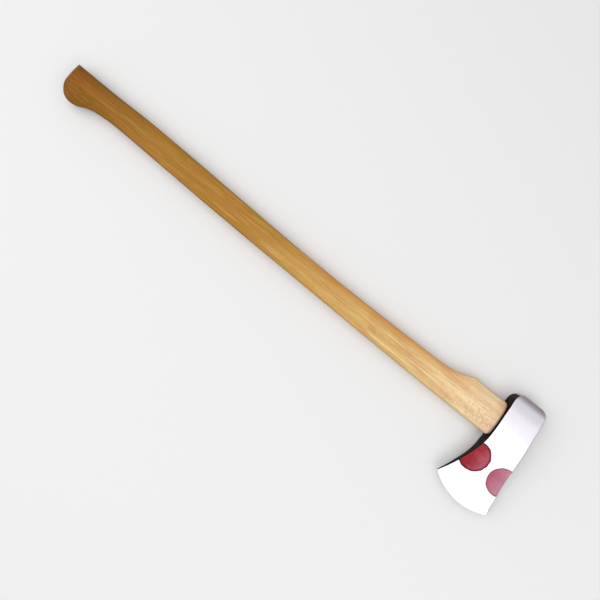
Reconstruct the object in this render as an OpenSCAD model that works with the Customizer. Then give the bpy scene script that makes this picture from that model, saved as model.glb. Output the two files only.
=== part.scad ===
// Single-bit felling axe with a 36 inch class handle, lying on its side.
// +X runs from the handle's knob to the head, the cutting edge points to -Y, and +Z is up through the cheeks.
// The origin is on the floor, under the middle of the axe's box. Lengths are in millimetres.

/* [Handle] */
// Length from the knob's end to the head's underside
handle_l = 848.5; // [760:0.5:920]
// Depth of the grip, from its back edge to its front edge
grip_d = 40; // [36:0.5:42]
// Thickness of the grip
grip_t = 24; // [21:0.5:26]
// Thickness of the knob
knob_t = 30; // [26:0.5:32]
// Depth of the shoulder below the head
shoulder_d = 60; // [58:0.5:64]
// Height of the handle's end standing proud of the head
proud = 1.5; // [0.5:0.1:3]

/* [Head] */
// Thickness of the head round the eye
head_t = 34; // [32:0.5:36]
// Height of the head along the handle, at the eye
head_h = 58; // [56:0.5:62]
// Reach from the handle's centre line to the poll's face
poll_reach = 55; // [53:0.5:58]
// Width of the poll's flat face
poll_flat = 12; // [8:0.5:16]
// Reach from the handle's centre line to the cutting edge
bit_reach = 137; // [134:0.5:140]
// Radius of the curved cutting edge
bit_r = 97; // [95:0.5:100]
// Width of the ground bevel behind the cutting edge
bevel_w = 7; // [5:0.5:9]

/* [Eye] */
// Length of the eye, along the head
eye_d = 54; // [52:0.5:55]
// Width of the eye at the underside
eye_t = 20; // [18:0.5:21]
// Extra width of the eye at the crown, which the wedges fill
eye_flare = 1.5; // [1:0.1:2]

/* [Scoops] */
// Radius of the round scoops in the cheeks
scoop_r = 24; // [22:0.5:25]
// Depth of the scoops in the middle
scoop_depth = 2.2; // [1.8:0.1:3]

/* [Wedges] */
// Depth to which the wooden wedge is driven
wood_wedge_l = 42; // [36:1:46]
// Thickness of the wooden wedge at the crown
wood_wedge_t = 6; // [5:0.1:7]
// Depth to which the steel wedges are driven
steel_wedge_l = 28; // [22:1:32]
// Width of the steel wedges
steel_wedge_w = 17; // [14:0.5:18]
// Thickness of the steel wedges at the crown
steel_wedge_t = 3.2; // [2.5:0.1:4]

/* [Hidden] */

STATIONS = 56;      // rings along the grip
SIDES = 28;         // points round a ring
FIT = 0.05;         // gap between the handle's tongue and the eye
TIP_T = 1.2;        // thickness of both kinds of wedge at the tip, and of the saw kerf
KERF_RUN = 6;       // saw kerf left empty below the wooden wedge's tip
PLAY = 2;           // overrun of a cutting tool past the face it cuts
KEEN = 0.15;        // half thickness of the cutting edge itself
BEVEL_HALF = 1.25;  // half thickness of the bit behind its bevel
CHEEK_EDGE = 0.6;   // half thickness that the cheeks' long taper runs down to
FAR = 60;           // distance that clears the whole head

half_t = head_t / 2;
lug_x = handle_l;                    // underside of the head, at the front of the eye
crown_x = handle_l + head_h;         // crown of the head, at the middle of the eye
heel = [lug_x - 26, -bit_reach + 20.2];
toe = [crown_x + 19.7, -bit_reach + 10.9];
bit_centre = [lug_x + 33.1, bit_r - bit_reach];

// Middle of the axe's box, which the origin is centred on
box_mid = [toe[0] / 2, (poll_reach - bit_reach) / 2];

// ---- curves ----

function bezier(a, b, c, d, steps) =
    [for (i = [0:steps]) let (t = i / steps, s = 1 - t)
        s * s * s * a + 3 * s * s * t * b + 3 * s * t * t * c + t * t * t * d];

function arc(centre, r, from, to, steps) =
    [for (i = [0:steps]) let (a = from + (to - from) * i / steps) centre + r * [cos(a), sin(a)]];

function angle_to(centre, p) = atan2(p[1] - centre[1], p[0] - centre[0]);

// Slope at knot i of a smooth curve through the knots [x, value]
function knot_slope(k, i) =
    let (a = max(i - 1, 0), b = min(i + 1, len(k) - 1)) (k[b][1] - k[a][1]) / (k[b][0] - k[a][0]);

// Height at x of that curve, level beyond its ends
function smooth(k, x, i = 0) =
    x <= k[0][0] ? k[0][1] :
    i > len(k) - 2 ? k[len(k) - 1][1] :
    x > k[i + 1][0] ? smooth(k, x, i + 1) :
    let (w = k[i + 1][0] - k[i][0], t = (x - k[i][0]) / w,
         m0 = knot_slope(k, i) * w, m1 = knot_slope(k, i + 1) * w)
        (2 * t * t * t - 3 * t * t + 1) * k[i][1] + (t * t * t - 2 * t * t + t) * m0
        + (3 * t * t - 2 * t * t * t) * k[i + 1][1] + (t * t * t - t * t) * m1;

// The smaller of a and b, blended over the span k where they cross
function soft_min(a, b, k) = let (h = max(k - abs(a - b), 0) / k) min(a, b) - h * h * k / 4;

// ---- handle ----

// Knots are [share of the handle's length, height over the centre line]; a grip is 40 deep at a lift of 1
lift = grip_d / 40;
half_shoulder = shoulder_d / 2;
SAWN = 0.0001;      // share of the length where the knob's end starts
KNOB = 0.027;       // share where the knob's rounding ends
SWELL = 0.924;      // share where the swell ends in a corner

back_edge = [
    [SAWN, 27.6 * lift], [0.08, 26.1 * lift], [0.16, 26.3 * lift], [0.25, 24.4 * lift], [0.35, 21.2 * lift],
    [0.44, 18.4 * lift], [0.535, 15.8 * lift], [0.63, 14.3 * lift], [0.74, 14.7 * lift],
    [0.83, 15.7 * lift], [0.865, 16.7 * lift], [0.89, 20.3 * lift], [SWELL, half_shoulder + 0.9]];
front_edge = [
    [SAWN, -4 * lift], [0.0007, -7 * lift], [0.0023, -9.8 * lift], [0.006, -13.9 * lift],
    [0.0107, -18.5 * lift], [0.0164, -23.4 * lift], [0.0233, -26.2 * lift], [0.0288, -27.1 * lift],
    [0.0345, -27.1 * lift], [0.0433, -25.8 * lift], [0.0536, -21.7 * lift], [0.0632, -18.2 * lift],
    [0.0781, -15.5 * lift], [0.11, -13.3 * lift], [0.20, -15.3 * lift], [0.30, -18.5 * lift],
    [0.44, -22 * lift], [0.58, -24.4 * lift],
    [0.72, -27 * lift], [0.84, -28.7 * lift], [SWELL, 0.6 - half_shoulder]];
half_thickness = [
    [SAWN, knob_t / 2 - 12], [0.0013, knob_t / 2 - 9.7], [0.003, knob_t / 2 - 7.6], [0.006, knob_t / 2 - 4],
    [0.0095, knob_t / 2 - 1], [0.0154, knob_t / 2], [0.05, knob_t / 2 - 0.5], [0.10, grip_t / 2 + 0.5],
    [0.20, grip_t / 2], [0.75, grip_t / 2], [0.90, grip_t / 2 + 0.6]];

// Slants along the handle: the knob's end, and the head's underside and crown
KNOB_LEAN = 0.0665;
KNOB_LEAN_RUN = 0.06;
UNDER_LEAN = -0.062;
CROWN_LEAN = -0.085;

SHOULDER_ROUND = 5;                  // run of the shoulder's rounded end
SHOULDER_DRAW = 3;                   // how far that rounding draws it in
shoulder_x = lug_x - 2.5;            // end of the shoulder
tongue_end = crown_x + proud;

// One ring, leaning back along X as y grows: an oval between front and back, squarer as n grows
function ring(x, lean, front, back, half, n) =
    let (mid = (front + back) / 2, reach = (back - front) / 2)
    [for (i = [0:SIDES - 1])
        let (s = sin(360 * i / SIDES), c = cos(360 * i / SIDES),
             y = mid + reach * sign(s) * pow(abs(s), 2 / n))
        [x + lean * y, y, half * sign(c) * pow(abs(c), 2 / n)]];

function eye_half_t(x) = eye_t / 2 + eye_flare / 2 * (x - lug_x) / head_h;
function eye_ring(x, lean, gap) = ring(x, lean, gap - eye_d / 2, eye_d / 2 - gap, eye_half_t(x) - gap, 2.5);

function grip_ring(share) =
    ring(share * handle_l, KNOB_LEAN * max(1 - share / KNOB_LEAN_RUN, 0),
         smooth(front_edge, share), smooth(back_edge, share), smooth(half_thickness, share), 2.5);

// Rings bunch together at the knob and at the swell
function grip_share(t) = KNOB + (SWELL - KNOB) * (0.3 * t + 0.35 * (1 - cos(180 * t)));

function shoulder_ring(x, lean, draw_in) =
    ring(x, lean, 0.6 - half_shoulder + draw_in, half_shoulder - 0.6 - draw_in,
         smooth(half_thickness, 1) - 0.7 * draw_in, 2.6);

handle_rings = concat(
    [for (a = [0:12:72]) grip_ring(SAWN + (KNOB - SAWN) * (1 - cos(a)))],
    [for (i = [0:STATIONS]) grip_ring(grip_share(i / STATIONS))],
    [shoulder_ring(shoulder_x - 20, UNDER_LEAN / 2, 0)],
    [for (a = [0:18:90]) shoulder_ring(shoulder_x - SHOULDER_ROUND * (1 - sin(a)), UNDER_LEAN,
                                       SHOULDER_DRAW * (1 - cos(a)))],
    [eye_ring(shoulder_x + 0.5, UNDER_LEAN, FIT), eye_ring(tongue_end, CROWN_LEAN, FIT)]);

// Closed solid through a list of rings, each of SIDES points
module loft(rings) {
    last = len(rings) - 1;
    side_faces = [for (r = [0:last - 1]) for (i = [0:SIDES - 1])
        let (j = (i + 1) % SIDES, a = r * SIDES, b = a + SIDES)
        each [[a + i, a + j, b + j], [a + i, b + j, b + i]]];
    first_cap = [for (i = [SIDES - 1:-1:0]) i];
    last_cap = [for (i = [0:SIDES - 1]) last * SIDES + i];
    polyhedron([for (r = rings) each r], concat(side_faces, [first_cap, last_cap]));
}

// ---- wedges ----

// A flat tapered blade driven down from the crown to depth, with its width across Y
module wedge_blade(depth, width, top_t) {
    run = depth + proud;
    over = run + PLAY;
    over_t = TIP_T + (top_t - TIP_T) * over / run;
    translate([tongue_end - run, 0, 0])
        rotate([90, 0, 0])
            linear_extrude(width, center = true)
                polygon([[0, -TIP_T / 2], [over, -over_t / 2], [over, over_t / 2], [0, TIP_T / 2]]);
}

module wood_wedge_blade() wedge_blade(wood_wedge_l, 2 * eye_d, wood_wedge_t);

// The steel wedges cross the wooden one on a slant, a quarter of the eye in from each end
module steel_wedge_blade(side)
    translate([0, side * eye_d * 0.22, 0])
        rotate([90 - side * 30, 0, 0])
            wedge_blade(steel_wedge_l, steel_wedge_w, steel_wedge_t);

module saw_kerf()
    translate([tongue_end - wood_wedge_l - proud - KERF_RUN, -eye_d, -TIP_T / 2])
        cube([KERF_RUN + PLAY, 2 * eye_d, TIP_T]);

// Everything on the handle's side of its sawn and leaning end
module below_end()
    linear_extrude(4 * half_t, center = true)
        polygon([for (y = [-eye_d, eye_d]) [tongue_end + CROWN_LEAN * y, y], [0, eye_d], [0, -eye_d]]);

// ---- head ----

UNDER_CORNER_R = 16;
CROWN_CORNER_R = 12;
under_corner = [lug_x + 12, poll_reach - UNDER_CORNER_R];
crown_corner = [crown_x - 18.2, poll_reach - CROWN_CORNER_R];

head_outline = concat(
    arc(crown_corner, CROWN_CORNER_R, 6, 90, 8),
    arc(under_corner, UNDER_CORNER_R, 90, 184, 10),
    bezier([lug_x + 0.6, -28], [lug_x + 0.8, -60], [lug_x - 12, -88], heel, 16),
    arc(bit_centre, bit_r, angle_to(bit_centre, heel) + 362, angle_to(bit_centre, toe) + 360, 24),
    bezier(toe, [crown_x + 9, -78], [crown_x - 1, -9],
           crown_corner + CROWN_CORNER_R * [cos(5), sin(5)], 20));

// Half thickness of the cheeks at y: the long taper from the eye's flats down to the bit
function cheek(y) =
    let (s = max(y + bit_reach, 0) / (bit_reach - 10))
    soft_min(half_t, CHEEK_EDGE + (half_t + 0.5) * pow(s, 1.35), 3);

// Half of the head's plan, seen along the handle: the taper, then the bulge that rounds into the poll
plan_half = concat(
    [for (y = [-bit_reach - 1:6:14]) [y, cheek(y)]],
    bezier([24, half_t], [42, half_t], [poll_reach, 12.5], [poll_reach, poll_flat / 2], 9));

module plan_body()
    translate([lug_x - FAR, 0, 0])
        rotate([90, 0, 90])
            linear_extrude(head_h + 2 * FAR)
                polygon(concat(plan_half,
                               [for (i = [len(plan_half) - 1:-1:0]) [plan_half[i][0], -plan_half[i][1]]]));

// Thins the bit evenly towards its curved edge, with the bevel ground on it
module edge_lens() {
    slope = 0.155;
    inner_r = 20;
    bevel_r = bit_r - bevel_w;
    inner_half = BEVEL_HALF + slope * (bevel_r - inner_r);
    translate([bit_centre[0], bit_centre[1], 0])
        rotate_extrude()
            polygon([[0, -inner_half], [inner_r, -inner_half], [bevel_r, -BEVEL_HALF], [bit_r, -KEEN],
                     [bit_r, KEEN], [bevel_r, BEVEL_HALF], [inner_r, inner_half], [0, inner_half]]);
    translate([lug_x - FAR, bit_centre[1] - inner_r - 2, -half_t - 1])
        cube([head_h + 2 * FAR, bit_reach, head_t + 2]);
}

// A ball that dishes a round scoop into the cheek on the given side, centred on p
module scoop_ball(p, side) {
    ball_r = (scoop_r * scoop_r + scoop_depth * scoop_depth) / (2 * scoop_depth);
    tilt = atan((cheek(p[1] + 10) - cheek(p[1] - 10)) / 20);
    translate([p[0], p[1], side * cheek(p[1])])
        rotate([side * tilt, 0, 0])
            translate([0, 0, side * (ball_r - scoop_depth)])
                sphere(ball_r, $fn = 96);
}

module eye_hole()
    loft([for (x = [lug_x - 12, tongue_end + 12]) eye_ring(x, 0, 0)]);

module axe_head()
    color("silver")
        difference() {
            intersection() {
                linear_extrude(head_t + 2, center = true) polygon(head_outline);
                plan_body();
                edge_lens();
            }
            eye_hole();
            for (side = [-1, 1]) {
                scoop_ball([lug_x + 4, -65], side);
                scoop_ball([crown_x + 4, -72.3], side);
            }
        }

module handle()
    color("burlywood")
        difference() {
            loft(handle_rings);
            wood_wedge_blade();
            saw_kerf();
            for (side = [-1, 1]) steel_wedge_blade(side);
        }

module wooden_wedge()
    color("tan")
        difference() {
            intersection() {
                wood_wedge_blade();
                loft([for (x = [lug_x, tongue_end + 12]) eye_ring(x, 0, FIT)]);
                below_end();
            }
            for (side = [-1, 1]) steel_wedge_blade(side);
        }

module steel_wedge(side)
    color("dimgray")
        intersection() {
            steel_wedge_blade(side);
            below_end();
        }

// Stands the axe's middle over the origin, with its lower cheek on the floor
module lay_down() translate([-box_mid[0], -box_mid[1], half_t]) children();

lay_down() axe_head();
lay_down() handle();
lay_down() wooden_wedge();
lay_down() steel_wedge(-1);  // steel_wedge_front
lay_down() steel_wedge(1);  // steel_wedge_rear
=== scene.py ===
"""Looks of the felling axe: a polished head with painted scoops, and a lacquered wooden handle."""

import math

import bmesh
import bpy
import numpy as np
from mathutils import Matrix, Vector, noise


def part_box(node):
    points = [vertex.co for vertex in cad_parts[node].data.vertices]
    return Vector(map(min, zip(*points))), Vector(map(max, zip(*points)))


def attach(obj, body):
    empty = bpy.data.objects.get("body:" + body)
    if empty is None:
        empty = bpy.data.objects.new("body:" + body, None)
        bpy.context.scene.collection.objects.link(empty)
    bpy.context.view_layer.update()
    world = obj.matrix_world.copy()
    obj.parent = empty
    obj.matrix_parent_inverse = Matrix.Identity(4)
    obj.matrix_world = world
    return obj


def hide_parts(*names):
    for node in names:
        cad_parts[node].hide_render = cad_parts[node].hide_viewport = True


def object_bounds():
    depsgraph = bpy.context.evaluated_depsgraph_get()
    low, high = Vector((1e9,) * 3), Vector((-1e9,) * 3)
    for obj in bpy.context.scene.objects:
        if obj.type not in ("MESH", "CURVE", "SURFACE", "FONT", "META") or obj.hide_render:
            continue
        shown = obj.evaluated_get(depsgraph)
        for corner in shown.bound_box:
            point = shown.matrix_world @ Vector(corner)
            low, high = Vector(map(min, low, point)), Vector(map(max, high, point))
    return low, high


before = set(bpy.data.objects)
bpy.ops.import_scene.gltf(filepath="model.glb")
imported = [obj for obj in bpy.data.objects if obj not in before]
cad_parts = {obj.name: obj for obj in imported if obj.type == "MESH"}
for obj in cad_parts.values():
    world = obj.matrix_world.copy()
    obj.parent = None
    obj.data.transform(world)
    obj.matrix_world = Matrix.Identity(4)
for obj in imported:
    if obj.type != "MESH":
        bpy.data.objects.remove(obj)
cad_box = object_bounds()

# ---------------------------------------------------------------- sizes, in millimetres
# The axe's own frame: x from the knob along the handle, y towards the poll from the handle's centre
# line, and z up from the middle plane of the head.
MM = 0.001
HANDLE_L = 848.5
HEEL_BACK = 26.0            # the heel lies this far short of the head's underside
POLL_REACH = 55.0

head_low, head_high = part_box("axe_head")
HEAD_H = 58.0
HALF_T = (head_high.z - head_low.z) / 2 / MM
ORIGIN = Vector((head_low.x + (HEEL_BACK - HANDLE_L) * MM,
                 head_high.y - POLL_REACH * MM,
                 (head_low.z + head_high.z) / 2))
LUG_X = HANDLE_L
CROWN_X = HANDLE_L + HEAD_H
BIT_REACH = 137.0
BIT_R = 97.0
BEVEL_W = 7.0
HEEL = np.array([LUG_X - HEEL_BACK, -BIT_REACH + 20.2])
TOE = np.array([CROWN_X + 19.7, -BIT_REACH + 10.9])
BIT_CENTRE = np.array([LUG_X + 33.1, BIT_R - BIT_REACH])
UNDER_CORNER_R = 16.0
CROWN_CORNER_R = 12.0
UNDER_CORNER = np.array([LUG_X + 12.0, POLL_REACH - UNDER_CORNER_R])
CROWN_CORNER = np.array([CROWN_X - 18.2, POLL_REACH - CROWN_CORNER_R])
SCOOP_R = 24.0
SCOOP_DEPTH = 2.2
SCOOPS = {"under": np.array([LUG_X + 4.0, -65.0]), "crown": np.array([CROWN_X + 4.0, -72.3])}

EYE_D = 54.0
EYE_T = 20.0
EYE_FLARE = 1.5             # extra width of the eye at the crown
FIT = 0.05                  # gap between the tongue and the eye
PROUD = 1.5
TONGUE_END = CROWN_X + PROUD
UNDER_LEAN = -0.062         # slants of the head's underside and crown
CROWN_LEAN = -0.085
WOOD_WEDGE = {"depth": 42.0, "tip_t": 1.2, "top_t": 6.0}
STEEL_WEDGE = {"depth": 28.0, "tip_t": 1.2, "top_t": 3.2, "width": 17.0}
STEEL_OFFSET = EYE_D * 0.22  # the steel wedges' distance from the middle of the eye
STEEL_SLANT = 30.0          # their slant, in degrees from square across the wooden wedge
KERF_RUN = 6.0
KERF_T = 1.2
CLEAR = 0.06                # hairline round a wedge


def place(points):
    """Points of the axe's own frame, in millimetres, as metres in the row frame."""
    return np.asarray(points, float).reshape(-1, 3) * MM + np.array(ORIGIN)


# ---------------------------------------------------------------- curves
def bezier(a, b, c, d, steps):
    a, b, c, d = (np.array(p) for p in (a, b, c, d))
    t = np.linspace(0, 1, steps + 1)[:, None]
    s = 1 - t
    return s**3 * a + 3 * s * s * t * b + 3 * s * t * t * c + t**3 * d


def arc(centre, r, start, end, steps):
    a = np.radians(np.linspace(start, end, steps + 1))
    return np.array(centre) + r * np.stack([np.cos(a), np.sin(a)], 1)


def angle_to(centre, p):
    return math.degrees(math.atan2(p[1] - centre[1], p[0] - centre[0]))


def along(points, shares):
    """Points at these shares of a polyline's length."""
    run = np.concatenate([[0], np.cumsum(np.linalg.norm(np.diff(points, axis=0), axis=1))])
    run /= run[-1]
    return np.stack([np.interp(shares, run, points[:, k]) for k in range(points.shape[1])], 1)


def smooth(knots, x):
    """Smooth curve through knots (x, value), level beyond its ends."""
    k = np.array(knots, float)
    n = len(k)
    slope = np.array([(k[min(i + 1, n - 1), 1] - k[max(i - 1, 0), 1])
                      / (k[min(i + 1, n - 1), 0] - k[max(i - 1, 0), 0]) for i in range(n)])
    if x <= k[0, 0]:
        return k[0, 1]
    if x >= k[-1, 0]:
        return k[-1, 1]
    i = int(np.searchsorted(k[:, 0], x, side="right")) - 1
    w = k[i + 1, 0] - k[i, 0]
    t = (x - k[i, 0]) / w
    return ((2 * t**3 - 3 * t**2 + 1) * k[i, 1] + (t**3 - 2 * t**2 + t) * slope[i] * w
            + (3 * t**2 - 2 * t**3) * k[i + 1, 1] + (t**3 - t**2) * slope[i + 1] * w)


def soft_min(a, b, span):
    h = np.maximum(span - np.abs(a - b), 0) / span
    return np.minimum(a, b) - h * h * span / 4


# ---------------------------------------------------------------- mesh helpers
def make_object(name, points, faces, sharp=40):
    mesh = bpy.data.meshes.new(name)
    mesh.from_pydata([tuple(p) for p in place(points)], [], faces)
    bm = bmesh.new()
    bm.from_mesh(mesh)
    bmesh.ops.remove_doubles(bm, verts=bm.verts, dist=1e-7)
    bmesh.ops.recalc_face_normals(bm, faces=bm.faces)
    bm.to_mesh(mesh)
    bm.free()
    obj = bpy.data.objects.new(name, mesh)
    bpy.context.scene.collection.objects.link(obj)
    shade(obj, sharp)
    return obj


def shade(obj, sharp=40):
    obj.data.polygons.foreach_set("use_smooth", [True] * len(obj.data.polygons))
    obj.data.set_sharp_from_angle(angle=math.radians(sharp))


def bake_modifiers(obj):
    """Replaces the object's mesh with what its modifiers make of it."""
    bpy.context.view_layer.update()
    evaluated = obj.evaluated_get(bpy.context.evaluated_depsgraph_get())
    mesh = bpy.data.meshes.new_from_object(evaluated)
    obj.modifiers.clear()
    obj.data = mesh


def cut(obj, cutters):
    """Cuts the cutters out of obj and removes them."""
    for cutter in cutters:
        m = obj.modifiers.new("cut", "BOOLEAN")
        m.operation = "DIFFERENCE"
        m.solver = "EXACT"
        m.object = cutter
        bake_modifiers(obj)
        bpy.data.objects.remove(cutter)


def loft(name, rings, sharp=40):
    """Closed skin over rings of equal length, with a flat cap at both ends."""
    sides = len(rings[0])
    faces = []
    for r in range(len(rings) - 1):
        a, b = r * sides, (r + 1) * sides
        faces += [(a + i, b + i, b + (i + 1) % sides, a + (i + 1) % sides) for i in range(sides)]
    last = (len(rings) - 1) * sides
    faces += [tuple(range(sides))[::-1], tuple(last + i for i in range(sides))]
    return make_object(name, np.concatenate(rings), faces, sharp)


# ---------------------------------------------------------------- head
HEAD_RUN = 60.0             # rough length of the grid's lines from underside to crown
HEAD_REACH = 176.0          # and from poll to bit
POLL_MID_Z = 7.0            # half width where the poll's rounding meets its flat
KEEN = 0.1                  # half thickness of the cutting edge
BEVEL_HALF = 1.3            # half thickness behind the bevel
EDGE_ROUND = 1.5            # rounding along the cheeks' edges
BLACK_WRAP = {"under": 0.9, "crown": 0.4}    # how far the black paint comes over the cheeks' edges
CROWN_END = 5.0             # direction in which the crown's corner ends, in degrees
BARE, UNDERSIDE, CROWN = range(3)            # the head's faces, told apart by material slot

poll_curve = np.concatenate([arc(UNDER_CORNER, UNDER_CORNER_R, 135, 90, 20),
                             arc(CROWN_CORNER, CROWN_CORNER_R, 90, 45, 20)])
under_curve = np.concatenate([arc(UNDER_CORNER, UNDER_CORNER_R, 135, 184, 24),
                              bezier([LUG_X + 0.6, -28], [LUG_X + 0.8, -60], [LUG_X - 12, -88],
                                     HEEL, 60)])
crown_corner_arc = arc(CROWN_CORNER, CROWN_CORNER_R, 45, CROWN_END, 20)
crown_curve = np.concatenate([crown_corner_arc,
                              bezier(crown_corner_arc[-1], [CROWN_X - 1, -9], [CROWN_X + 9, -78],
                                     TOE, 60)[1:]])
bit_curve = arc(BIT_CENTRE, BIT_R, angle_to(BIT_CENTRE, HEEL), angle_to(BIT_CENTRE, TOE), 80)
poll_bulge = bezier([24, HALF_T], [42, HALF_T], [POLL_REACH, 12.5], [POLL_REACH, POLL_MID_Z], 200)
blunt_outline = [under_curve, poll_curve, crown_curve]


def distance_to(points, curve):
    """Shortest distance from each point to a polyline."""
    a, b = curve[:-1], curve[1:]
    ab = b - a
    near = np.full(len(points), 1e9)
    for start, step in zip(a, ab, strict=True):
        t = np.clip(((points - start) @ step) / max(step @ step, 1e-12), 0, 1)
        near = np.minimum(near, np.linalg.norm(points - start - t[:, None] * step, axis=1))
    return near


def cheek_height(points):
    """Half thickness of the head at points (x, y), with the edges' rounding and the scoops."""
    x, y = points[:, 0], points[:, 1]
    s = np.clip((y + BIT_REACH) / (BIT_REACH - 10), 0, None)
    taper = soft_min(HALF_T, 0.7 + (HALF_T + 0.4) * s**1.35, 3.0)
    bulge = np.interp(y, poll_bulge[:, 0], poll_bulge[:, 1])
    body = np.where(y > 24, bulge, taper)
    rho = np.linalg.norm(points - BIT_CENTRE, axis=1)
    flank = BEVEL_HALF + 0.155 * (BIT_R - BEVEL_W - rho)
    bevel = KEEN + (BEVEL_HALF - KEEN) * (BIT_R - rho) / BEVEL_W
    lens = np.where(rho > BIT_R - BEVEL_W, bevel, flank)
    lens = np.where(y < -62, np.maximum(lens, KEEN) + np.clip(y + 80, 0, None) * 0.06, HALF_T * 2)
    h = soft_min(body, lens, 0.3)
    for centre in SCOOPS.values():
        d = np.linalg.norm(points - centre, axis=1) / SCOOP_R
        h = h - SCOOP_DEPTH * np.clip(1 - d**3, 0, None)
    h = np.maximum(h, KEEN)
    edge = np.min([distance_to(points, curve) for curve in blunt_outline], axis=0)
    r = np.minimum(EDGE_ROUND, 0.8 * h)
    inset = np.clip(r - edge, 0, None)
    return h - r + np.sqrt(np.maximum(r * r - inset * inset, 0))


def crowd(near, far_step, total, near_end=None):
    """Shares from 0 to 1 that crowd at these distances from the start, and from the end."""
    near = np.array(near, float)
    ends = near if near_end is None else np.array(near_end, float)
    middle = np.linspace(near[-1], total - ends[-1], int((total - ends[-1] - near[-1]) / far_step) + 1)
    return np.concatenate([near[:-1], middle, (total - ends[::-1])[1:]]) / total


def build_head():
    """Both cheeks as grids between the four outlines, joined by walls along them."""
    us = crowd([0, 0.12, 0.3, 0.55, 0.85, 1.2, 1.6, 2.2, 3], 0.9, HEAD_RUN)
    vs = crowd([0, 0.1, 0.25, 0.45, 0.7, 1, 1.4, 1.9, 2.5, 3.3, 4.3, 5.5, 7], 1.35, HEAD_REACH,
               [0, 0.6, 1.4, 2.3, 3.3, 4.3, 5.3, 6.2, 6.8, 7.4, 8.2, 9.2, 10.4])
    poll = along(poll_curve, us)
    bit = along(bit_curve, us)
    under = along(under_curve, vs)
    crown = along(crown_curve, vs)
    u = us[None, :, None]
    v = vs[:, None, None]
    sides = (1 - v) * poll[None] + v * bit[None] + (1 - u) * under[:, None] + u * crown[:, None]
    corners = (1 - v) * ((1 - u) * poll[0] + u * poll[-1]) + v * ((1 - u) * bit[0] + u * bit[-1])
    grid = sides - corners
    rows, cols = len(vs), len(us)
    flat = grid.reshape(-1, 2)
    h = cheek_height(flat)
    top = np.column_stack([flat, h])
    low = np.column_stack([flat, -h])
    count = rows * cols
    faces, paint = [], []

    def add(face, slot):
        faces.append(face)
        paint.append(slot)

    for r in range(rows - 1):
        for c in range(cols - 1):
            a = r * cols + c
            quad = (a, a + 1, a + cols + 1, a + cols)
            slot = UNDERSIDE if us[c + 1] * HEAD_RUN < BLACK_WRAP["under"] else BARE
            slot = CROWN if (1 - us[c]) * HEAD_RUN < BLACK_WRAP["crown"] else slot
            add(quad, slot)
            add(tuple(i + count for i in quad[::-1]), slot)
    ring = ([r * cols for r in range(rows)]
            + [(rows - 1) * cols + c for c in range(1, cols)]
            + [r * cols + cols - 1 for r in range(rows - 2, -1, -1)]
            + [c for c in range(cols - 2, 0, -1)])
    wall_slots = ([UNDERSIDE] * (rows - 1) + [BARE] * (cols - 1)
                  + [CROWN] * (rows - 1) + [BARE] * (cols - 1))
    levels = 10
    walls = [ring]
    extra = []
    for k in range(1, levels):
        start = 2 * count + len(extra)
        share = 1 - 2 * k / levels
        extra += [(flat[i][0], flat[i][1], h[i] * share) for i in ring]
        walls.append(list(range(start, start + len(ring))))
    walls.append([i + count for i in ring])
    for upper, lower in zip(walls[:-1], walls[1:], strict=True):
        for i in range(len(ring)):
            j = (i + 1) % len(ring)
            add((upper[i], upper[j], lower[j], lower[i]), wall_slots[i])
    obj = make_object("forged_head", np.concatenate([top, low, np.array(extra)]), faces)
    obj.data.polygons.foreach_set("material_index", paint)
    return obj


# ---------------------------------------------------------------- handle
# Shares of the handle's length where the knob's end starts, its rounding ends, and the swell ends
SAWN, KNOB, SWELL = 0.0001, 0.027, 0.924
SIDES = 72                  # points round a ring
HALF_SHOULDER = 30.0
SHOULDER_X = LUG_X - 2.5

# Knots of the handle's edges and half thickness: share of its length, and millimetres
BACK_EDGE = [(SAWN, 27.6), (0.08, 26.1), (0.16, 26.3), (0.25, 24.4), (0.35, 21.2), (0.44, 18.4),
             (0.535, 15.8), (0.63, 14.3), (0.74, 14.7), (0.83, 15.7), (0.865, 16.7), (0.89, 20.3),
             (SWELL, HALF_SHOULDER + 0.9)]
FRONT_EDGE = [(SAWN, -4), (0.0007, -7), (0.0023, -9.8), (0.006, -13.9), (0.0107, -18.5), (0.0164, -23.4),
              (0.0233, -26.2), (0.0288, -27.1), (0.0345, -27.1), (0.0433, -25.8), (0.0536, -21.7),
              (0.0632, -18.2), (0.0781, -15.5), (0.11, -13.3), (0.20, -15.3), (0.30, -18.5), (0.44, -22),
              (0.58, -24.4), (0.72, -27), (0.84, -28.7), (SWELL, 0.6 - HALF_SHOULDER)]
HALF_THICKNESS = [(SAWN, 3), (0.0013, 5.3), (0.003, 7.4), (0.006, 11), (0.0095, 14), (0.0154, 15),
                  (0.05, 14.5), (0.10, 12.5), (0.20, 12), (0.75, 12), (0.90, 12.6)]
KNOB_LEAN = 0.0665          # slant of the knob's end
KNOB_LEAN_RUN = 0.06        # share of the length over which it fades


def oval(x, lean, front, back, half, n):
    """A ring that leans back along x as y grows, squarer as n grows."""
    a = np.radians(np.arange(SIDES) * 360 / SIDES)
    mid, reach = (front + back) / 2, (back - front) / 2
    y = mid + reach * np.sign(np.sin(a)) * np.abs(np.sin(a)) ** (2 / n)
    z = half * np.sign(np.cos(a)) * np.abs(np.cos(a)) ** (2 / n)
    return np.stack([x + lean * y, y, z], 1)


def grip_ring(share):
    lean = KNOB_LEAN * max(1 - share / KNOB_LEAN_RUN, 0)
    return oval(share * HANDLE_L, lean, smooth(FRONT_EDGE, share), smooth(BACK_EDGE, share),
                smooth(HALF_THICKNESS, share), 2.4)


def shoulder_ring(x, lean, draw_in):
    reach_y = HALF_SHOULDER - 0.6 - draw_in
    half = HALF_THICKNESS[-1][1] - 0.7 * draw_in
    return oval(x, lean, -reach_y, reach_y, half, 2.6)


def eye_ring(x, lean, gap):
    half = EYE_T / 2 + EYE_FLARE / 2 * (x - LUG_X) / HEAD_H
    return oval(x, lean, gap - EYE_D / 2, EYE_D / 2 - gap, half - gap, 2.5)


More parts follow.
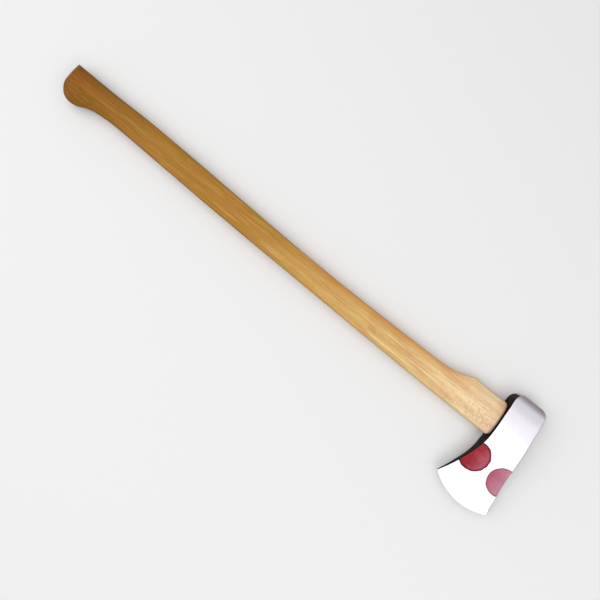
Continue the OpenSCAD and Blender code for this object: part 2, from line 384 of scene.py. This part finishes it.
def slab(name, side, tip_t, top_t, depth, width, grow, over):
    """A flat wedge driven down from the crown: side 0 lies level, and -1 and 1 cross it on a slant."""
    tip = TONGUE_END - depth - PROUD
    top = TONGUE_END + over
    w = width / 2 + grow
    points = np.array([(x, y, z) for x, t in ((tip - grow, tip_t / 2 + grow), (top, top_t / 2 + grow))
                       for y, z in ((-w, -t), (w, -t), (w, t), (-w, t))])
    turn = math.radians(90 - side * STEEL_SLANT) if side else 0
    y = points[:, 1] * math.cos(turn) - points[:, 2] * math.sin(turn)
    z = points[:, 1] * math.sin(turn) + points[:, 2] * math.cos(turn)
    points = np.stack([points[:, 0], y + side * STEEL_OFFSET, z], 1)
    faces = [(0, 1, 2, 3), (7, 6, 5, 4), (0, 4, 5, 1), (1, 5, 6, 2), (2, 6, 7, 3), (3, 7, 4, 0)]
    return make_object(name, points, faces)


def wood_slot():
    return slab("wood_slot", 0, WOOD_WEDGE["tip_t"], WOOD_WEDGE["top_t"], WOOD_WEDGE["depth"],
                2 * EYE_D, CLEAR, 6)


def steel_slot(side):
    return slab("steel_slot", side, STEEL_WEDGE["tip_t"], STEEL_WEDGE["top_t"], STEEL_WEDGE["depth"],
                STEEL_WEDGE["width"], CLEAR, 6)


def build_handle():
    shares = np.concatenate([SAWN + (KNOB - SAWN) * (1 - np.cos(np.radians(np.arange(0, 88, 3.5)))),
                             KNOB + (SWELL - KNOB) * (0.4 * np.linspace(0, 1, 241)
                                                      + 0.3 * (1 - np.cos(np.pi * np.linspace(0, 1, 241))))])
    rings = [grip_ring(s) for s in shares]
    rings += [shoulder_ring(SHOULDER_X - run, UNDER_LEAN * lean, 0)
              for run, lean in ((50, 0.2), (35, 0.4), (20, 0.7), (10, 0.9))]
    rings += [shoulder_ring(SHOULDER_X - 5 * (1 - math.sin(math.radians(a))), UNDER_LEAN,
                            3 * (1 - math.cos(math.radians(a)))) for a in range(0, 91, 9)]
    rings = [uneven(ring) for ring in rings]
    rings.append(eye_ring(SHOULDER_X + 0.5, UNDER_LEAN, FIT))
    rings += [eye_ring(x, lean, FIT) for x, lean in
              ((LUG_X + 20, -0.07), (CROWN_X - 15, -0.08), (TONGUE_END - 0.5, CROWN_LEAN))]
    rings.append(eye_ring(TONGUE_END, CROWN_LEAN, 0.6))
    end = rings[0]
    centre = end.mean(0)
    cap = [centre + (end - centre) * s for s in (0.1, 0.5, 0.9)]
    obj = loft("wooden_handle", cap + rings)
    kerf = slab("kerf", 0, KERF_T, KERF_T, WOOD_WEDGE["depth"] + KERF_RUN, 2 * EYE_D, 0,
                2 - WOOD_WEDGE["depth"])
    cut(obj, [wood_slot(), kerf, steel_slot(-1), steel_slot(1)])
    shade(obj, 35)
    return obj


def uneven(ring):
    """Works the ring a tenth of a millimetre in and out, as hand sanding leaves it."""
    centre = ring.mean(0)
    out = []
    for p in ring:
        d = p - centre
        wave = noise.noise(Vector((p[0] / 34, p[1] / 13, p[2] / 13)))
        out.append(p + d / max(np.linalg.norm(d), 1e-6) * 0.16 * wave)
    return np.array(out)


# ---------------------------------------------------------------- wedges
def build_wood_wedge():
    """Fills its slot between the ends of the oval eye, with a top crushed a little by driving."""
    tip = TONGUE_END - WOOD_WEDGE["depth"] - PROUD
    rings = []
    for share in (0, 0.02, 0.3, 0.6, 0.9, 0.985, 1):
        x = tip + (TONGUE_END - tip) * share
        t = WOOD_WEDGE["tip_t"] / 2 + (WOOD_WEDGE["top_t"] - WOOD_WEDGE["tip_t"]) / 2 * share
        shrink = 0.35 if share in (0, 1) else 0
        ring = eye_ring(x, CROWN_LEAN * share, FIT + shrink)
        ring[:, 2] = np.clip(ring[:, 2], -t + shrink, t - shrink)
        rings.append(ring)
    obj = loft("oak_wedge", rings, 30)
    cut(obj, [steel_slot(-1), steel_slot(1)])
    shade(obj, 30)
    return obj


def build_steel_wedge(side, name):
    """Stands a fifth of a millimetre over the leaning end of the handle, with its edges rounded."""
    obj = slab(name, side, STEEL_WEDGE["tip_t"], STEEL_WEDGE["top_t"], STEEL_WEDGE["depth"],
               STEEL_WEDGE["width"], 0, 0.2 + CROWN_LEAN * side * STEEL_OFFSET)
    bm = bmesh.new()
    bm.from_mesh(obj.data)
    bmesh.ops.bevel(bm, geom=bm.edges[:], offset=0.35 * MM, segments=3, affect="EDGES", profile=0.6)
    bm.to_mesh(obj.data)
    bm.free()
    shade(obj, 30)
    return obj


# ---------------------------------------------------------------- paint films
FILM = 0.09                 # thickness of a coat of paint
SUNK = 0.05                 # how far the red paint's underside is sunk into the steel
BEAD = 0.97                 # share of a red patch's width where its rounded rim starts


def edge_film(head, slot, name):
    """A coat of paint over the head's faces of that slot."""
    film = bpy.data.objects.new(name, head.data.copy())
    bpy.context.scene.collection.objects.link(film)
    bm = bmesh.new()
    bm.from_mesh(film.data)
    bmesh.ops.delete(bm, geom=[f for f in bm.faces if f.material_index != slot], context="FACES")
    bmesh.ops.dissolve_degenerate(bm, dist=1e-6, edges=bm.edges)
    bm.to_mesh(film.data)
    bm.free()
    m = film.modifiers.new("coat", "SOLIDIFY")
    m.thickness = FILM * MM
    m.offset = 1
    m.use_even_offset = False
    bake_modifiers(film)
    shade(film, 45)
    return film


def reach(centre, direction):
    """Distance from centre to the head's blunt outline along direction."""
    best = 1e9
    for curve in blunt_outline:
        a = curve[:-1] - centre
        ab = np.diff(curve, axis=0)
        cross = direction[0] * ab[:, 1] - direction[1] * ab[:, 0]
        cross = np.where(np.abs(cross) < 1e-9, 1e-9, cross)
        t = (a[:, 0] * ab[:, 1] - a[:, 1] * ab[:, 0]) / cross
        s = (a[:, 0] * direction[1] - a[:, 1] * direction[0]) / cross
        hit = t[(t > 0) & (s >= 0) & (s <= 1)]
        if len(hit):
            best = min(best, hit.min())
    return best


OVERRUN = {"under": 0.6, "crown": -0.3}     # how far the red paint runs past its scoop


def build_scoop_paint(place_name, side):
    """A brushed-on patch of enamel that fills one scoop, with an edge that wanders a little."""
    centre = SCOOPS[place_name]
    spokes = 144
    rims = np.concatenate([np.linspace(0, 0.94, 24), [BEAD, 0.985, 0.995, 1.0]])
    inward = np.array([1.0, 0.0]) if place_name == "under" else np.array([-1.0, 0.0])
    hub = centre + inward * 8
    outer = []
    for i in range(spokes):
        a = 2 * math.pi * i / spokes
        d = np.array([math.cos(a), math.sin(a)])
        b = 2 * (hub - centre) @ d
        c = (hub - centre) @ (hub - centre) - (SCOOP_R + OVERRUN[place_name]) ** 2
        rim = -b / 2 + math.sqrt(b * b / 4 - c)
        wander = 0.75 * noise.noise(Vector((d[0] * 3.1, d[1] * 3.1, side * 4.0 + hub[0] / 50)))
        wander += 0.35 * noise.noise(Vector((d[0] * 11, d[1] * 11, side * 9.0)))
        outer.append(min(rim + wander, reach(hub, d) - BLACK_WRAP[place_name] + 0.1))
    xy = np.array([[hub + share * outer[i] * np.array([math.cos(2 * math.pi * i / spokes),
                                                        math.sin(2 * math.pi * i / spokes)])
                    for i in range(spokes)] for share in rims[1:]])
    flat = xy.reshape(-1, 2)
    h = cheek_height(flat)
    bead = np.repeat([FILM * math.sqrt(max(1 - ((s - BEAD) / 0.031) ** 2, 0)) if s > BEAD else FILM
                      for s in rims[1:]], spokes)
    top = np.column_stack([flat, side * (h + bead)])
    low = np.column_stack([flat, side * (h - SUNK)])
    hub_h = cheek_height(hub[None])[0]
    points = np.concatenate([top, low, [[*hub, side * (hub_h + FILM)], [*hub, side * (hub_h - SUNK)]]])
    rings, n = len(rims) - 1, len(flat)
    faces = []
    for r in range(rings - 1):
        for i in range(spokes):
            j = (i + 1) % spokes
            a, b = r * spokes, (r + 1) * spokes
            faces.append((a + i, a + j, b + j, b + i))
            faces.append((n + a + i, n + b + i, n + b + j, n + a + j))
    for i in range(spokes):
        j = (i + 1) % spokes
        e = (rings - 1) * spokes
        faces.append((2 * n, j, i))
        faces.append((2 * n + 1, n + i, n + j))
        faces.append((e + i, e + j, n + e + j, n + e + i))
    return make_object(f"enamel_{place_name}_{'top' if side > 0 else 'floor'}", points, faces, 60)


# ---------------------------------------------------------------- materials
def linear(r, g, b):
    """Linear colour of an sRGB colour given as 0 to 255."""
    return (*(((c / 255 + 0.055) / 1.055) ** 2.4 if c > 10 else c / 255 / 12.92 for c in (r, g, b)), 1.0)


class Paint:
    """A material and short calls that add nodes to it."""

    def __init__(self, name, **settings):
        self.material = bpy.data.materials.new(name)
        self.material.use_nodes = True
        self.tree = self.material.node_tree
        self.surface = self.tree.nodes["Principled BSDF"]
        for socket, value in settings.items():
            self.put(self.surface.inputs[socket.replace("_", " ")], value)
        self.coords = self.tree.nodes.new("ShaderNodeTexCoord").outputs["Object"]

    def put(self, socket, value):
        if isinstance(value, bpy.types.NodeSocket):
            self.tree.links.new(value, socket)
        else:
            socket.default_value = value

    def add(self, kind, out=0, props=None, **inputs):
        made = self.tree.nodes.new("ShaderNode" + kind)
        for name, value in (props or {}).items():
            setattr(made, name, value)
        for name, value in inputs.items():
            key = int(name[1:]) if name[0] == "i" and name[1:].isdigit() else name.replace("_", " ")
            self.put(made.inputs[key], value)
        return made.outputs[out]

    def math(self, operation, a, b=0.0, c=0.0):
        return self.add("Math", props={"operation": operation}, i0=a, i1=b, i2=c)

    def stretch(self, x, y, z, vector=None):
        return self.add("Mapping", Vector=vector or self.coords, Scale=(x, y, z))

    def noise(self, vector, detail=4.0, roughness=0.55, distortion=0.0, scale=1.0):
        return self.add("TexNoise", Vector=vector, Scale=scale, Detail=detail, Roughness=roughness,
                        Distortion=distortion)

    def ramp(self, value, stops):
        made = self.tree.nodes.new("ShaderNodeValToRGB")
        elements = made.color_ramp.elements
        for i, (at, colour) in enumerate(stops):
            element = elements[i] if i < 2 else elements.new(at)
            element.position = at
            element.color = colour if hasattr(colour, "__len__") else (colour, colour, colour, 1)
        self.put(made.inputs[0], value)
        return made.outputs[0]

    def mix(self, share, a, b, blend="MIX"):
        return self.add("Mix", out=2, props={"data_type": "RGBA", "blend_type": blend}, i0=share, i6=a, i7=b)

    def span(self, value, low, high, to_low=0.0, to_high=1.0):
        return self.add("MapRange", i0=value, i1=low, i2=high, i3=to_low, i4=to_high)

    def axes(self, vector=None):
        made = self.tree.nodes.new("ShaderNodeSeparateXYZ")
        self.put(made.inputs[0], vector or self.coords)
        return made.outputs

    def bump(self, height, strength, distance):
        made = self.tree.nodes.new("ShaderNodeBump")
        made.inputs["Strength"].default_value = strength
        made.inputs["Distance"].default_value = distance
        self.put(made.inputs["Height"], height)
        return made.outputs[0]

    def finish(self, **sockets):
        for name, value in sockets.items():
            self.put(self.surface.inputs[name.replace("_", " ")], value)
        return self.material


def at_x(mm):
    return ORIGIN.x + mm * MM


# Colour of the wood along the handle, paler towards the head, partly the wood's own tone and partly painted
# light: share of its length, and sRGB colour
WOOD_TONES = [(0.0, (108, 62, 5)), (0.05, (128, 86, 7)), (0.2, (164, 117, 43)),
              (0.42, (174, 130, 51)), (0.6, (211, 169, 98)), (0.78, (225, 189, 126)),
              (0.92, (245, 216, 167)), (1.0, (245, 219, 183))]
# Pale streaks along the grain, painted highlights broken up by the grain: from and to along x, middle in y,
# half width, in millimetres
PALE_HIGHLIGHT_STREAKS = [(385, 445, -13, 3.5), (590, 705, -19.5, 2.8), (650, 740, -13, 2.4), (610, 668, -1.5, 1.8),
                (690, 755, 1.0, 2.0)]
# Orange-brown clouds in the wood: middle in x and y, and radii along and across, in millimetres
CLOUDS = [(345, 2, 16, 12), (415, 9, 30, 7), (505, 9, 34, 6), (625, 9, 40, 7), (30, 4, 24, 17)]
# The growth rings' centre line, in metres from the handle's
PITH_Y = 0.075
PITH_Z = -0.063


def wood_material():
    p = Paint("lacquered_wood", Coat_Weight=0.05, Coat_Roughness=0.2, IOR=1.2)
    x, y, z = p.axes()
    share = p.span(x, at_x(0), at_x(HANDLE_L))
    # The tone pales towards the head, partly the wood's own colour and partly painted light
    tone = p.ramp(share, [(at, linear(*c)) for at, c in WOOD_TONES])
    # Growth rings round a pith beside the handle, warped along the grain
    warp = p.noise(p.stretch(5, 22, 22), detail=2)
    across = p.math("ADD", y, p.math("MULTIPLY", p.math("SUBTRACT", warp, 0.5), 0.034))
    deep = p.math("SUBTRACT", z, ORIGIN.z + PITH_Z)
    side = p.math("SUBTRACT", across, ORIGIN.y + PITH_Y)
    radius = p.math("SQRT", p.math("ADD", p.math("MULTIPLY", side, side), p.math("MULTIPLY", deep, deep)))
    rings = p.add("TexWave", Vector=p.add("CombineXYZ", i0=radius, i1=0.0, i2=0.0), Scale=62.0,
                  Distortion=0.6, Detail=3.0, Detail_Scale=2.0,
                  props={"wave_type": "BANDS", "bands_direction": "X", "wave_profile": "SAW"})
    late = p.ramp(rings, [(0.0, 0.0), (0.55, 0.15), (0.9, 1.0), (1.0, 0.3)])
    # The grain sways by a few millimetres along the handle
    sway = p.noise(p.stretch(12, 34, 34), detail=2)
    elsewhere = p.add("VectorMath", i0=p.coords, i1=(3.0, 5.0, 7.0))
    lift = p.noise(p.stretch(10, 30, 30, vector=elsewhere), detail=2)
    grain = p.add("CombineXYZ", i0=x, i1=p.math("MULTIPLY_ADD", sway, 0.010, y),
                  i2=p.math("MULTIPLY_ADD", lift, 0.010, z))
    broad = p.noise(p.stretch(4, 80, 80, grain), detail=3, distortion=0.3)
    streak = p.noise(p.stretch(9, 380, 380, grain), detail=5, roughness=0.6)
    fibre = p.noise(p.stretch(40, 1900, 1900, grain), detail=4, roughness=0.65)
    cloud = p.noise(p.stretch(24, 70, 70, grain), detail=3, distortion=0.6)
    colour = p.mix(p.math("MULTIPLY", late, 0.34), tone, p.mix(0.5, tone, linear(128, 74, 26)))
    colour = p.mix(p.ramp(broad, [(0.35, 0.0), (0.62, 0.42)]), colour,
                   p.mix(0.6, tone, linear(176, 106, 40)))
    colour = p.mix(p.ramp(cloud, [(0.47, 0.0), (0.66, 0.5)]), colour,
                   p.mix(0.6, tone, linear(180, 104, 36)))
    for middle_x, middle_y, run, reach_y in CLOUDS:
        along_x = p.math("MULTIPLY", p.math("SUBTRACT", x, at_x(middle_x)), 1 / (run * MM))
        across_y = p.math("MULTIPLY", p.math("SUBTRACT", y, ORIGIN.y + middle_y * MM), 1 / (reach_y * MM))
        radius = p.math("ADD", p.math("POWER", along_x, 2.0), p.math("POWER", across_y, 2.0))
        mask = p.math("MULTIPLY", p.span(radius, 1.3, 0.1), p.span(cloud, 0.35, 0.6, 0.2, 0.75))
        colour = p.mix(mask, colour, p.mix(0.55, tone, linear(172, 98, 34)))
    # Pale streaks along the grain, partly the wood's own figure and partly painted sheen
    pale_grain_and_sheen = p.math("MULTIPLY", p.ramp(streak, [(0.50, 0.0), (0.72, 0.6)]), p.span(share, 0, 0.5, 0.3, 1.0))
    colour = p.mix(pale_grain_and_sheen, colour, p.mix(0.5, tone, linear(250, 214, 128)))
    # Painted highlights: pale bands along the grain, broken up by the streaks
    for start, stop, middle_y, reach_y in PALE_HIGHLIGHT_STREAKS:
        rise = p.span(x, at_x(start), at_x(start + 25))
        fall = p.span(x, at_x(stop), at_x(stop - 25))
        across_y = p.math("MULTIPLY", p.math("SUBTRACT", y, ORIGIN.y + middle_y * MM), 1 / (reach_y * MM))
        mask = p.math("MULTIPLY", rise, fall)
        mask = p.math("MULTIPLY", mask, p.span(p.math("ABSOLUTE", across_y), 1.0, 0.2))
        mask = p.math("MULTIPLY", mask, p.span(streak, 0.36, 0.56, 0.15, 0.7))
        colour = p.mix(mask, colour, p.mix(0.6, tone, linear(255, 236, 170)))
    colour = p.mix(p.ramp(streak, [(0.30, 0.55), (0.47, 0.0)]), colour,
                   p.mix(0.5, tone, linear(120, 74, 26)))
    colour = p.mix(p.ramp(fibre, [(0.30, 0.5), (0.5, 0.0)]), colour,
                   p.mix(0.45, tone, linear(104, 62, 22)))
    # Short dark pores, flecks in the pale wood of the shoulder, and pale blotches there that are painted
    # highlight
    pores = p.noise(p.stretch(170, 3000, 3000), detail=2, roughness=0.5)
    pore_mask = p.ramp(pores, [(0.66, 0.0), (0.70, 0.75)])
    colour = p.mix(pore_mask, colour, p.mix(0.7, tone, linear(88, 50, 18)))
    mottle = p.noise(p.stretch(240, 320, 320), detail=2)
    near_head = p.math("MULTIPLY", p.span(share, 0.86, 0.95),
                       p.span(y, ORIGIN.y + 0.016, ORIGIN.y - 0.004))
    flecks = p.math("MULTIPLY", p.ramp(mottle, [(0.60, 0.0), (0.68, 0.55)]), near_head)
    colour = p.mix(flecks, colour, linear(196, 140, 92))
    # Painted highlight: pale creamy blotches on the shoulder's side towards the bit
    highlight_blotches = p.math("MULTIPLY", p.ramp(mottle, [(0.34, 0.5), (0.46, 0.0)]), near_head)
    colour = p.mix(highlight_blotches, colour, linear(252, 230, 198))
    # Painted shade: the back of the knob, on the poll side, is darker
    knob_back_shade = p.math("MULTIPLY", p.span(y, ORIGIN.y + 0.008, ORIGIN.y + 0.027),
                       p.span(share, 0.3, 0.0, 0.1, 0.5))
    colour = p.mix(knob_back_shade, colour, p.mix(0.6, tone, linear(112, 72, 14)))
    # Painted shade: the side towards the poll turns a darker orange between the grip and the shoulder
    poll_side_orange_shade = p.math("MULTIPLY", p.span(y, ORIGIN.y, ORIGIN.y + 0.014),
                    p.math("MULTIPLY", p.span(share, 0.50, 0.64), p.span(share, 0.94, 0.86)))
    poll_side_orange_shade = p.math("MULTIPLY", poll_side_orange_shade, p.span(cloud, 0.25, 0.6, 0.3, 0.65))
    colour = p.mix(poll_side_orange_shade, colour, p.mix(0.8, tone, linear(214, 126, 34)))
    # Painted shade darkens the narrow sides, which face sideways
    normal_x, normal_y, _ = p.axes(p.add("NewGeometry", out=1))
    narrow_side_shade = p.span(p.math("ABSOLUTE", normal_y), 0.66, 0.96, 0.0, 0.6)
    colour = p.mix(narrow_side_shade, colour, p.mix(0.62, tone, linear(64, 42, 11)))
    # Painted warm shade gives the end next to the head a rosy tint
    rosy_end_shade = p.math("MULTIPLY", p.span(share, 0.972, 0.995, 0.0, 0.55),
                  p.span(cloud, 0.3, 0.6, 0.4, 1.0))
    rosy_end_shade = p.math("MULTIPLY", rosy_end_shade, p.span(y, ORIGIN.y - 0.02, ORIGIN.y + 0.02, 0.4, 1.0))
    colour = p.mix(rosy_end_shade, colour, linear(214, 142, 108))
    # End grain, on the faces that look along the handle
    end = p.ramp(p.math("ABSOLUTE", normal_x), [(0.82, 0.0), (0.93, 1.0)])
    dots = p.ramp(p.noise(p.stretch(500, 2600, 2600), detail=3), [(0.40, 1.0), (0.56, 0.0)])
    end_colour = p.mix(p.math("MULTIPLY", late, 0.7), linear(176, 128, 76), linear(112, 70, 32))
    end_colour = p.mix(p.math("MULTIPLY", dots, 0.55), end_colour, linear(84, 50, 24))
    colour = p.mix(p.math("MULTIPLY", end, 0.85), colour, end_colour)
    height = p.math("SUBTRACT", p.math("MULTIPLY", fibre, 0.35), p.math("MULTIPLY", pore_mask, 0.6))
    height = p.math("ADD", height, p.math("MULTIPLY", late, -0.25))
    rough = p.span(p.noise(p.stretch(60, 200, 200), detail=3), 0.3, 0.7, 0.38, 0.56)
    return p.finish(Base_Color=colour, Roughness=rough, Normal=p.bump(height, 0.35, 0.00025))


def steel_material():
    p = Paint("polished_steel", Metallic=1.0)
    x, y, z = p.axes()
    # Fine lines from the grinding belt, run from the poll to the bit, and a few deeper ones
    grind = p.noise(p.stretch(1300, 7, 120), detail=3, roughness=0.6)
    deep_grind = p.ramp(p.noise(p.stretch(420, 5, 60), detail=1), [(0.62, 0.0), (0.68, 1.0)])
    smudge = p.noise(p.stretch(26, 34, 34), detail=4, distortion=0.4)
    bevel = p.add("VectorMath", out=1, props={"operation": "DISTANCE"},
                  i0=p.add("CombineXYZ", i0=x, i1=y, i2=0.0),
                  i1=(at_x(BIT_CENTRE[0]), ORIGIN.y + BIT_CENTRE[1] * MM, 0.0))
    ground = p.ramp(p.span(bevel, (BIT_R - BEVEL_W - 1) * MM, (BIT_R - BEVEL_W) * MM), [(0, 0), (1, 1)])
    colour = p.mix(p.ramp(smudge, [(0.35, 0.0), (0.75, 1.0)]), linear(240, 240, 245), linear(222, 220, 228))
    colour = p.mix(p.math("MULTIPLY", ground, 0.5), colour, linear(250, 250, 252))
    # Painted shade: a lavender-grey tint towards the poll, and a darker brownish painted shade and
    # reflection on its rounding
    colour = p.mix(p.span(y, ORIGIN.y - 0.01, ORIGIN.y + 0.03), colour, linear(226, 220, 229))
    poll = p.span(y, ORIGIN.y + 0.042, ORIGIN.y + 0.054)
    colour = p.mix(p.math("MULTIPLY", poll, 0.8), colour, linear(140, 124, 122))
    # Specks of forge scale near the poll
    specks = p.ramp(p.noise(p.stretch(420, 420, 420), detail=2), [(0.64, 0.0), (0.70, 1.0)])
    specks = p.math("MULTIPLY", specks, p.span(y, ORIGIN.y + 0.022, ORIGIN.y + 0.042, 0.0, 0.45))
    colour = p.mix(specks, colour, linear(132, 112, 104))
    rough = p.math("ADD", p.span(smudge, 0.3, 0.7, 0.20, 0.32), p.math("MULTIPLY", grind, 0.12))
    height = p.math("SUBTRACT", grind, p.math("MULTIPLY", deep_grind, 0.4))
    return p.finish(Base_Color=colour, Roughness=rough, Normal=p.bump(height, 0.15, 0.00008))


def enamel_material(name, hub, fade_start, fade_end, deep, painted_highlight, painted_rim_shade, eye_side_light_and_shade):
    """Red enamel with a painted highlight that pales it towards the crown, painted light and shade on a
    stretch towards the eye, and painted shade darkening the rim round its edge.

    The fade's start and end are in millimetres along x from the scoop's middle, the hub.
    """
    p = Paint(name, Coat_Weight=0.08, Coat_Roughness=0.15, Roughness=0.45, IOR=1.3)
    x, y, _ = p.axes()
    cx, cy = at_x(hub[0]), ORIGIN.y + hub[1] * MM
    brush = p.noise(p.stretch(80, 120, 120), detail=5, distortion=0.8)
    fade = p.math("ADD", p.math("MULTIPLY", p.math("SUBTRACT", x, cx), 1 / MM),
                  p.math("MULTIPLY", p.math("SUBTRACT", brush, 0.5), 34.0))
    # Painted highlight: the enamel pales along x towards the crown
    colour = p.mix(p.span(fade, fade_start, fade_end), deep, painted_highlight)
    radial = p.add("VectorMath", out=1, props={"operation": "DISTANCE"},
                   i0=p.add("CombineXYZ", i0=x, i1=y, i2=0.0), i1=(cx, cy, 0.0))
    # Painted light and shade: a stretch towards the eye takes another shade of red
    painted_light_stretch = p.span(p.math("SUBTRACT", y, cy), 0.013, 0.021)
    colour = p.mix(p.math("MULTIPLY", painted_light_stretch, p.span(brush, 0.35, 0.6, 0.1, 0.8)), colour, eye_side_light_and_shade)
    # Painted shade darkens the patch's rim, over its bead
    rim = p.span(radial, (SCOOP_R - 2.8) * MM, (SCOOP_R - 1.2) * MM)
    colour = p.mix(p.math("MULTIPLY", rim, 0.9), colour, painted_rim_shade)
    peel = p.noise(p.coords, scale=420.0, detail=2)
    return p.finish(Base_Color=colour, Normal=p.bump(peel, 0.08, 0.0002))


def black_material():
    p = Paint("black_enamel", IOR=1.18)
    worn = p.noise(p.stretch(160, 160, 160), detail=5)
    colour = p.mix(p.ramp(worn, [(0.4, 0.0), (0.8, 1.0)]), linear(9, 7, 5), linear(22, 18, 15))
    scale_pits = p.noise(p.coords, scale=900.0, detail=4)
    return p.finish(Base_Color=colour, Roughness=p.span(worn, 0.3, 0.7, 0.42, 0.6),
                    Normal=p.bump(scale_pits, 0.25, 0.0003))


def wedge_wood_material():
    p = Paint("wedge_wood", Roughness=0.75)
    rings = p.noise(p.stretch(60, 900, 300), detail=4)
    dots = p.ramp(p.noise(p.stretch(300, 2400, 2400), detail=2), [(0.36, 1.0), (0.5, 0.0)])
    colour = p.mix(rings, linear(122, 78, 44), linear(168, 118, 72))
    colour = p.mix(p.math("MULTIPLY", dots, 0.5), colour, linear(74, 44, 24))
    return p.finish(Base_Color=colour, Normal=p.bump(dots, 0.3, -0.0002))


def wedge_steel_material():
    p = Paint("wedge_steel", Metallic=1.0)
    mottle = p.noise(p.coords, scale=500.0, detail=5)
    colour = p.mix(mottle, linear(120, 118, 118), linear(176, 174, 174))
    return p.finish(Base_Color=colour, Roughness=p.span(mottle, 0.3, 0.7, 0.35, 0.6),
                    Normal=p.bump(mottle, 0.4, 0.0002))


def dress(obj, material, slot, *nodes):
    """Puts the piece on the axe's one body with its material, and hides the CAD nodes it stands for; the
    slot argument is not used.
    """
    obj.data.materials.clear()
    obj.data.materials.append(material)
    obj.data.polygons.foreach_set("material_index", [0] * len(obj.data.polygons))
    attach(obj, "root")
    if nodes:
        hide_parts(*nodes)


# ---------------------------------------------------------------- the axe
head = build_head()
cut(head, [loft("eye", [eye_ring(LUG_X - 12, 0, 0), eye_ring(TONGUE_END + 12, 0, 0)])])
shade(head, 24)
black = black_material()
dress(edge_film(head, UNDERSIDE, "underside_paint"), black, "black_paint")
dress(edge_film(head, CROWN, "crown_paint"), black, "black_paint")
dress(head, steel_material(), "steel", "axe_head")
dress(build_handle(), wood_material(), "wood", "handle")
dress(build_wood_wedge(), wedge_wood_material(), "wedge_wood", "wooden_wedge")
wedge_steel = wedge_steel_material()
dress(build_steel_wedge(-1, "steel_wedge_blade_front"), wedge_steel, "wedge_steel", "steel_wedge_front")
dress(build_steel_wedge(1, "steel_wedge_blade_rear"), wedge_steel, "wedge_steel", "steel_wedge_rear")
enamel = {
    "under": enamel_material("crimson_enamel", SCOOPS["under"], -2.0, 19.0,
                             deep=linear(148, 6, 34), painted_highlight=linear(174, 78, 96),
                             painted_rim_shade=linear(92, 6, 22), eye_side_light_and_shade=linear(150, 40, 56)),
    # The crown's patch is the same red enamel, painted paler and pinker as painted highlight
    "crown": enamel_material("rose_highlight_enamel", SCOOPS["crown"], -20.0, 4.0,
                             deep=linear(178, 84, 108), painted_highlight=linear(184, 126, 144),
                             painted_rim_shade=linear(138, 80, 100), eye_side_light_and_shade=linear(208, 152, 170)),
}
for scoop in SCOOPS:
    for side in (1, -1):
        dress(build_scoop_paint(scoop, side), enamel[scoop], "red_paint")


# ---------------------------------------------------------------- floor, light and camera
# The camera looks straight down
FLOOR_SIZE = 12.0
CAMERA_HEIGHT = 0.901       # over the axe's middle plane
CAMERA_ROLL = 38.5          # degrees
CAMERA_X = 494.5            # millimetres, in the axe's own frame
CAMERA_Y = -45.0


def build_floor():
    mesh = bpy.data.meshes.new("floor")
    s = FLOOR_SIZE / 2
    mesh.from_pydata([(-s, -s, 0), (s, -s, 0), (s, s, 0), (-s, s, 0)], [], [(0, 1, 2, 3)])
    floor = bpy.data.objects.new("floor", mesh)
    floor.location.z = cad_box[0].z - 0.0002
    bpy.context.scene.collection.objects.link(floor)
    p = Paint("pale_floor", Roughness=0.85)
    p.surface.inputs["Specular IOR Level"].default_value = 0.2
    floor.data.materials.append(p.finish(Base_Color=linear(233, 233, 233)))


def area_light(name, location, target, size_x, size_y, power):
    data = bpy.data.lights.new(name, "AREA")
    data.shape = "RECTANGLE"
    data.size = size_x
    data.size_y = size_y
    data.energy = power
    obj = bpy.data.objects.new(name, data)
    obj.location = location
    obj.rotation_euler = (Vector(target) - Vector(location)).to_track_quat("-Z", "Y").to_euler()
    bpy.context.scene.collection.objects.link(obj)


build_floor()
area_light("key_box", (-1.0, -0.15, 1.7), (-0.1, 0, 0), 2.6, 2.6, 25)
area_light("head_box", (1.35, -0.9, 1.75), (1.35, -0.9, 0), 1.6, 2.0, 13)
area_light("poll_box", (1.3, 0.9, 1.75), (1.3, 0.9, 0), 1.5, 1.4, 2.6)

world = bpy.data.worlds.new("studio")
world.use_nodes = True
world.node_tree.nodes["Background"].inputs["Color"].default_value = (1, 1, 1, 1)
world.node_tree.nodes["Background"].inputs["Strength"].default_value = 0.55
bpy.context.scene.world = world
bpy.context.scene.view_settings.view_transform = "Standard"

camera_data = bpy.data.cameras.new("camera")
camera_data.lens = 35
camera_data.sensor_width = 36
camera = bpy.data.objects.new("camera", camera_data)
camera.location = (at_x(CAMERA_X), ORIGIN.y + CAMERA_Y * MM, ORIGIN.z + CAMERA_HEIGHT)
camera.rotation_euler = (0, 0, math.radians(CAMERA_ROLL))
bpy.context.scene.collection.objects.link(camera)
bpy.context.scene.camera = camera
